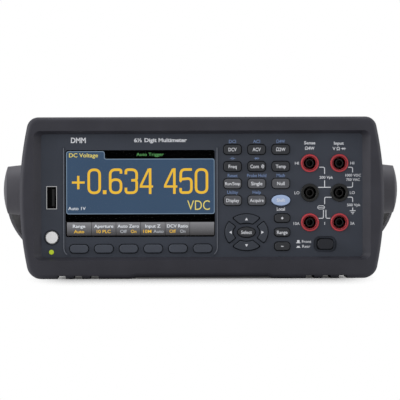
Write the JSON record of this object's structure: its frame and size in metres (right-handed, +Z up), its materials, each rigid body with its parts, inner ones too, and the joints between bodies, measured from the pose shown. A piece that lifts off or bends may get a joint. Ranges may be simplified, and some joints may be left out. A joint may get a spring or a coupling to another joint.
{
  "type": "bench multimeter",
  "caption": "Half-rack bench multimeter with colour display, keypad, safety terminals, rubber bumpers and a swinging carry handle.",
  "frame": {"origin": "on the bench, under the middle of the overall box, with the handle folded down and back", "axes": "+X to the right seen from the front, -Y out of the front panel, +Z up"},
  "size_m": [0.2612, 0.3032, 0.1038],
  "materials": {
    "bumper_rubber": "satin moulded rubber",
    "panel_plastic": "fine textured",
    "case_paint": "light grey powder coat",
    "window": "clear lens",
    "display": "dark display glass",
    "mat_rubber": "silicone",
    "board": "solder mask",
    "port_metal": "nickel plated",
    "port_plastic": "moulded",
    "led": "clear green lens",
    "ring_red": "moulded",
    "ring_dark": "moulded",
    "contact_brass": "plated brass",
    "steel": "zinc plated",
    "components": "moulded",
    "core_iron": "laminated",
    "coil_tape": "taped winding",
    "rear_paint": "light grey powder coat",
    "key_dark": "fine textured",
    "key_grey": "fine textured",
    "key_blue": "fine textured",
    "softkey_plastic": "fine textured",
    "power_white": "fine textured",
    "handle_plastic": "textured",
    "ribbon": "flat cable"
  },
  "bodies": {
    "root": {"front_bumper": "bumper_rubber", "rear_bumper": "bumper_rubber", "case_sleeve": "case_paint", "front_panel": "panel_plastic", "display_window": "window", "display_module": "display", "key_mat": "mat_rubber", "front_board": "board", "usb_port": "port_metal", "usb_tongue": "port_plastic", "led_lens": "led", "jack_rings_red": "ring_red", "jack_rings_black": "ring_dark", "jack_contacts": "contact_brass", "handle_pivots": "handle_plastic", "chassis": "steel", "main_board": "board", "board_components": "components", "selector_switch": "port_plastic", "analog_shield": "steel", "transformer_core": "core_iron", "transformer_coil": "coil_tape", "rear_panel": "rear_paint", "blank_plate": "steel", "data_ports": "port_metal", "power_inlet": "port_plastic", "inlet_pins": "port_metal", "bnc_jacks": "port_metal", "ribbon_cable": "ribbon", "screws": "steel"},
    "handle": {"handle_frame": "handle_plastic"},
    "selector": {"selector_button": "key_grey", "selector_rod": "steel"},
    "key_dcv": {"key_dcv": "key_dark"},
    "key_acv": {"key_acv": "key_dark"},
    "key_ohms": {"key_ohms": "key_dark"},
    "key_freq": {"key_freq": "key_dark"},
    "key_cont": {"key_cont": "key_dark"},
    "key_temp": {"key_temp": "key_dark"},
    "key_run_stop": {"key_run_stop": "key_grey"},
    "key_single": {"key_single": "key_grey"},
    "key_null": {"key_null": "key_grey"},
    "key_display": {"key_display": "key_grey"},
    "key_acquire": {"key_acquire": "key_grey"},
    "key_shift": {"key_shift": "key_blue"},
    "softkey_1": {"softkey_1": "softkey_plastic"},
    "softkey_2": {"softkey_2": "softkey_plastic"},
    "softkey_3": {"softkey_3": "softkey_plastic"},
    "softkey_4": {"softkey_4": "softkey_plastic"},
    "softkey_5": {"softkey_5": "softkey_plastic"},
    "softkey_6": {"softkey_6": "softkey_plastic"},
    "key_plus": {"key_plus": "key_dark"},
    "key_range": {"key_range": "key_dark"},
    "key_minus": {"key_minus": "key_dark"},
    "key_right": {"key_right": "key_dark"},
    "key_up": {"key_up": "key_dark"},
    "key_left": {"key_left": "key_dark"},
    "key_down": {"key_down": "key_dark"},
    "key_select": {"key_select": "key_dark"},
    "power_button": {"power_button": "power_white"}
  },
  "joints": [
    {"name": "handle_pivot", "type": "hinge", "parent": "root", "child": "handle", "pos_m": [0, -0.09, 0.0567], "axis": [-1, 0, 0], "range_deg": [0, 300]},
    {"name": "selector_press", "type": "slide", "parent": "root", "child": "selector", "axis": [0, 1, 0], "range_m": [0, 0.003]},
    {"name": "key_dcv_press", "type": "slide", "parent": "root", "child": "key_dcv", "axis": [0, 1, 0], "range_m": [0, 0.001], "stiffness_N_per_m": 900},
    {"name": "key_acv_press", "type": "slide", "parent": "root", "child": "key_acv", "axis": [0, 1, 0], "range_m": [0, 0.001], "stiffness_N_per_m": 900},
    {"name": "key_ohms_press", "type": "slide", "parent": "root", "child": "key_ohms", "axis": [0, 1, 0], "range_m": [0, 0.001], "stiffness_N_per_m": 900},
    {"name": "key_freq_press", "type": "slide", "parent": "root", "child": "key_freq", "axis": [0, 1, 0], "range_m": [0, 0.001], "stiffness_N_per_m": 900},
    {"name": "key_cont_press", "type": "slide", "parent": "root", "child": "key_cont", "axis": [0, 1, 0], "range_m": [0, 0.001], "stiffness_N_per_m": 900},
    {"name": "key_temp_press", "type": "slide", "parent": "root", "child": "key_temp", "axis": [0, 1, 0], "range_m": [0, 0.001], "stiffness_N_per_m": 900},
    {"name": "key_run_stop_press", "type": "slide", "parent": "root", "child": "key_run_stop", "axis": [0, 1, 0], "range_m": [0, 0.001], "stiffness_N_per_m": 900},
    {"name": "key_single_press", "type": "slide", "parent": "root", "child": "key_single", "axis": [0, 1, 0], "range_m": [0, 0.001], "stiffness_N_per_m": 900},
    {"name": "key_null_press", "type": "slide", "parent": "root", "child": "key_null", "axis": [0, 1, 0], "range_m": [0, 0.001], "stiffness_N_per_m": 900},
    {"name": "key_display_press", "type": "slide", "parent": "root", "child": "key_display", "axis": [0, 1, 0], "range_m": [0, 0.001], "stiffness_N_per_m": 900},
    {"name": "key_acquire_press", "type": "slide", "parent": "root", "child": "key_acquire", "axis": [0, 1, 0], "range_m": [0, 0.001], "stiffness_N_per_m": 900},
    {"name": "key_shift_press", "type": "slide", "parent": "root", "child": "key_shift", "axis": [0, 1, 0], "range_m": [0, 0.001], "stiffness_N_per_m": 900},
    {"name": "softkey_1_press", "type": "slide", "parent": "root", "child": "softkey_1", "axis": [0, 1, 0], "range_m": [0, 0.001], "stiffness_N_per_m": 900},
    {"name": "softkey_2_press", "type": "slide", "parent": "root", "child": "softkey_2", "axis": [0, 1, 0], "range_m": [0, 0.001], "stiffness_N_per_m": 900},
    {"name": "softkey_3_press", "type": "slide", "parent": "root", "child": "softkey_3", "axis": [0, 1, 0], "range_m": [0, 0.001], "stiffness_N_per_m": 900},
    {"name": "softkey_4_press", "type": "slide", "parent": "root", "child": "softkey_4", "axis": [0, 1, 0], "range_m": [0, 0.001], "stiffness_N_per_m": 900},
    {"name": "softkey_5_press", "type": "slide", "parent": "root", "child": "softkey_5", "axis": [0, 1, 0], "range_m": [0, 0.001], "stiffness_N_per_m": 900},
    {"name": "softkey_6_press", "type": "slide", "parent": "root", "child": "softkey_6", "axis": [0, 1, 0], "range_m": [0, 0.001], "stiffness_N_per_m": 900},
    {"name": "key_plus_press", "type": "slide", "parent": "root", "child": "key_plus", "axis": [0, 1, 0], "range_m": [0, 0.001], "stiffness_N_per_m": 900},
    {"name": "key_range_press", "type": "slide", "parent": "root", "child": "key_range", "axis": [0, 1, 0], "range_m": [0, 0.001], "stiffness_N_per_m": 900},
    {"name": "key_minus_press", "type": "slide", "parent": "root", "child": "key_minus", "axis": [0, 1, 0], "range_m": [0, 0.001], "stiffness_N_per_m": 900},
    {"name": "key_right_press", "type": "slide", "parent": "root", "child": "key_right", "axis": [0, 1, 0], "range_m": [0, 0.001], "stiffness_N_per_m": 900},
    {"name": "key_up_press", "type": "slide", "parent": "root", "child": "key_up", "axis": [0, 1, 0], "range_m": [0, 0.001], "stiffness_N_per_m": 900},
    {"name": "key_left_press", "type": "slide", "parent": "root", "child": "key_left", "axis": [0, 1, 0], "range_m": [0, 0.001], "stiffness_N_per_m": 900},
    {"name": "key_down_press", "type": "slide", "parent": "root", "child": "key_down", "axis": [0, 1, 0], "range_m": [0, 0.001], "stiffness_N_per_m": 900},
    {"name": "key_select_press", "type": "slide", "parent": "root", "child": "key_select", "axis": [0, 1, 0], "range_m": [0, 0.001], "stiffness_N_per_m": 900},
    {"name": "power_button_press", "type": "slide", "parent": "root", "child": "power_button", "axis": [0, 1, 0], "range_m": [0, 0.001], "stiffness_N_per_m": 900}
  ]
}
